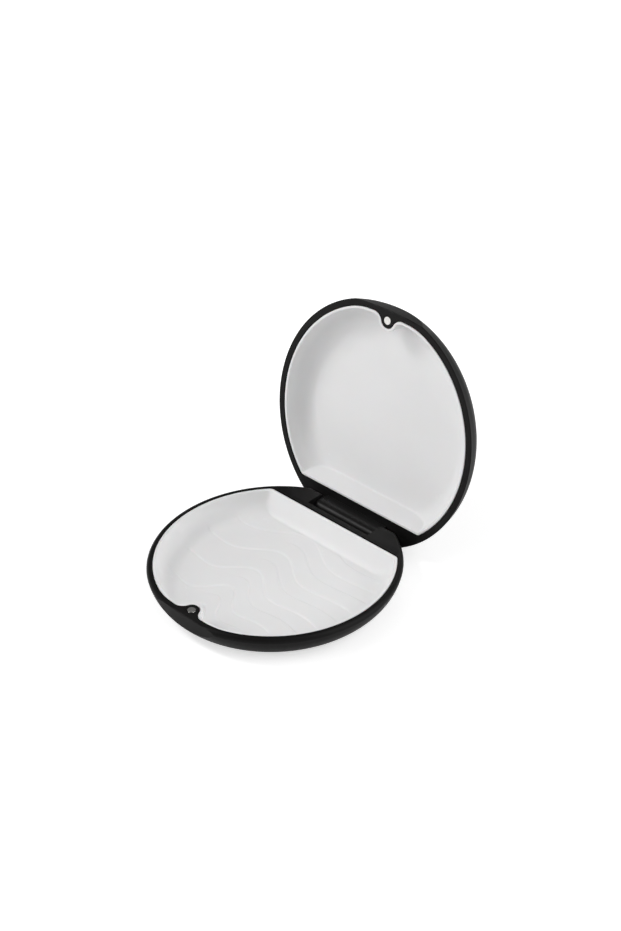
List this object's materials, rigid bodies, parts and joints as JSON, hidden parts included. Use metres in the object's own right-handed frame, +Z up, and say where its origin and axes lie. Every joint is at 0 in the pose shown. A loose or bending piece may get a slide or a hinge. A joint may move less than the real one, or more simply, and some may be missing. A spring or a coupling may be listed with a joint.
{
  "type": "retainer case",
  "caption": "Slim oval folding case with a hinged lid, white tray inserts and magnets that hold it shut, for a dental retainer.",
  "frame": {"origin": "centre of the flat underside of the lower half", "axes": "+Z up out of the tray, +Y from the front boss towards the hinge, X along the hinge"},
  "size_m": [0.0818, 0.101, 0.0792],
  "materials": {
    "base_shell": "satin black moulded plastic",
    "base_liner": "satin white moulded plastic",
    "base_magnet": "nickel-plated disc",
    "lid_shell": "satin black moulded plastic",
    "lid_liner": "satin white moulded plastic",
    "lid_magnet": "nickel-plated disc",
    "hinge_pin_left": "plain steel pin",
    "hinge_pin_right": "plain steel pin"
  },
  "bodies": {
    "base": {"base_shell": "base_shell", "base_liner": "base_liner", "base_magnet": "base_magnet", "hinge_pin_left": "hinge_pin_left", "hinge_pin_right": "hinge_pin_right"},
    "lid": {"lid_shell": "lid_shell", "lid_liner": "lid_liner", "lid_magnet": "lid_magnet"}
  },
  "joints": [
    {"name": "lid_hinge", "type": "hinge", "parent": "base", "child": "lid", "pos_m": [0, 0.03439, 0.00667], "axis": [1, 0, 0], "range_deg": [0, 100.7]}
  ]
}
